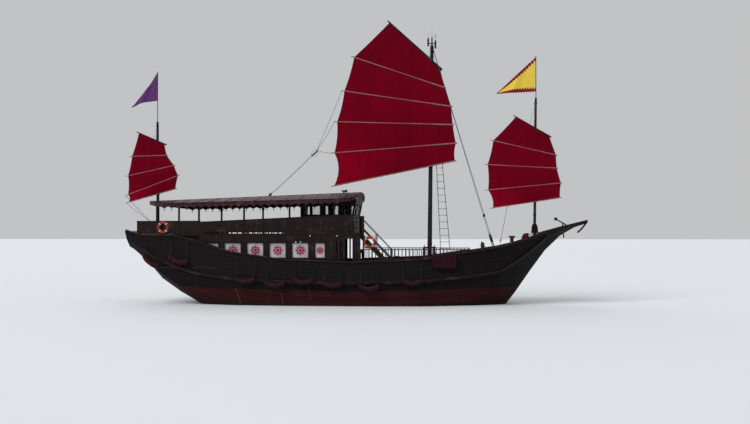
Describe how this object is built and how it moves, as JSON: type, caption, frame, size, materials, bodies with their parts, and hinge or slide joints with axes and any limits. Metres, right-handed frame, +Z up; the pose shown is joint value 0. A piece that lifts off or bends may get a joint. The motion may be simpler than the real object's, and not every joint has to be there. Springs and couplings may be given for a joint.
{
  "type": "chinese junk ship",
  "caption": "Battened-sail Chinese junk with a decked wooden hull, saloon, roofed upper deck, wheelhouse and side fenders.",
  "frame": {"origin": "on the centreline amidships, at the level of the water the ship floats in", "axes": "+X to the bow, +Y to port, +Z up"},
  "size_m": [28.1236, 7.902, 19.1813],
  "materials": {
    "black_wood": "tarred and painted near black",
    "brown_wood": "dark reddish brown varnish",
    "red_wood": "dull dark red paint",
    "deck_wood": "weathered planks",
    "pale_wood": "pinkish grey bare pole",
    "bottom_paint": "matt red brown bottom paint",
    "bronze": "cast and ground",
    "sailcloth": "deep crimson canvas",
    "purple_cloth": "thin worn cloth",
    "yellow_cloth": "thin cloth with a dark red edge",
    "fender_skin": "dark red sleeve over foam",
    "window_panel": "pale translucent panel",
    "lifebuoy_foam": "orange red",
    "dark_iron": "black paint",
    "steel_wire": "greased wire"
  },
  "bodies": {
    "ship": {"hull": "black_wood", "bulwark_port": "black_wood", "bulwark_starboard": "black_wood", "main_mast": "black_wood", "fore_mast": "black_wood", "mizzen_mast": "black_wood", "transom_board": "brown_wood", "cap_rail_port": "brown_wood", "cap_rail_starboard": "brown_wood", "bow_rail_port": "brown_wood", "bow_rail_starboard": "brown_wood", "wale_port": "brown_wood", "wale_starboard": "brown_wood", "balustrade_port": "brown_wood", "balustrade_starboard": "brown_wood", "saloon_side_port": "brown_wood", "saloon_side_starboard": "brown_wood", "entrance_frame_port": "brown_wood", "entrance_frame_starboard": "brown_wood", "upper_bulwark_port": "brown_wood", "upper_bulwark_starboard": "brown_wood", "roof_posts_port": "brown_wood", "roof_posts_starboard": "brown_wood", "saloon_front": "brown_wood", "poop_rail": "brown_wood", "wheelhouse": "brown_wood", "helm_console": "brown_wood", "stair": "brown_wood", "fife_rail": "brown_wood", "roof_canopy": "red_wood", "windlass": "red_wood", "bow_bitts": "red_wood", "upper_deck": "deck_wood", "keel": "bottom_paint", "mizzen_flag": "purple_cloth", "fore_flag": "yellow_cloth", "fenders_port": "fender_skin", "fenders_starboard": "fender_skin", "saloon_windows_port": "window_panel", "saloon_windows_starboard": "window_panel", "lifebuoy_poop_port": "lifebuoy_foam", "lifebuoy_poop_starboard": "lifebuoy_foam", "lifebuoy_stair": "lifebuoy_foam", "anchor": "dark_iron", "shroud_ladder": "steel_wire", "forestay_port": "steel_wire", "forestay_starboard": "steel_wire"},
    "rudder": {"rudder": "bottom_paint"},
    "propeller": {"propeller": "bronze"},
    "main_sail": {"main_sail": "sailcloth", "main_yard": "pale_wood"},
    "fore_sail": {"fore_sail": "sailcloth", "fore_yard": "pale_wood"},
    "mizzen_sail": {"mizzen_sail": "sailcloth", "mizzen_yard": "pale_wood"},
    "saloon_door_port": {"saloon_door_port": "red_wood"},
    "saloon_door_starboard": {"saloon_door_starboard": "red_wood"},
    "wheelhouse_door": {"wheelhouse_door": "red_wood"},
    "boarding_gate": {"boarding_gate": "red_wood"},
    "helm_wheel": {"helm_wheel": "red_wood"}
  },
  "joints": [
    {"name": "rudder_turn", "type": "hinge", "parent": "ship", "child": "rudder", "pos_m": [-9.5, 0, 0], "axis": [0, 0, 1], "range_deg": [-35, 35]},
    {"name": "helm_turn", "type": "hinge", "parent": "ship", "child": "helm_wheel", "pos_m": [-0.8203, 0, 5.08], "axis": [1, 0, 0], "range_deg": [-525, 525]},
    {"name": "propeller_spin", "type": "hinge", "parent": "ship", "child": "propeller", "pos_m": [-8.3, 0, -1.25], "axis": [1, 0, 0], "continuous": true},
    {"name": "main_swing", "type": "hinge", "parent": "ship", "child": "main_sail", "pos_m": [4.435, 0, 2.2], "axis": [0.0123, 0, 0.9999], "range_deg": [-45, 60]},
    {"name": "fore_swing", "type": "hinge", "parent": "ship", "child": "fore_sail", "pos_m": [10.727, 0, 3.79], "axis": [0.012, 0, 0.9999], "range_deg": [-60, 60]},
    {"name": "mizzen_swing", "type": "hinge", "parent": "ship", "child": "mizzen_sail", "pos_m": [-12.355, 0, 4.18], "axis": [-0.0079, 0, 1], "range_deg": [-60, 60]},
    {"name": "saloon_door_port_swing", "type": "hinge", "parent": "ship", "child": "saloon_door_port", "pos_m": [-1.1457, 0.75, 2.2], "axis": [0, 0, 1], "range_deg": [0, 100]},
    {"name": "saloon_door_starboard_swing", "type": "hinge", "parent": "ship", "child": "saloon_door_starboard", "pos_m": [-1.1457, -0.75, 2.2], "axis": [0, 0, -1], "range_deg": [0, 100]},
    {"name": "wheelhouse_door_swing", "type": "hinge", "parent": "ship", "child": "wheelhouse_door", "pos_m": [-3.1643, -1.4, 4.2], "axis": [0, 0, 1], "range_deg": [0, 100]},
    {"name": "boarding_gate_swing", "type": "hinge", "parent": "ship", "child": "boarding_gate", "pos_m": [-0.35, 2.9257, 2.3], "axis": [0, 0, -1], "range_deg": [0, 95]}
  ],
  "couplings": [
    {"joint": "helm_turn", "follows": "rudder_turn", "ratio": 15}
  ]
}
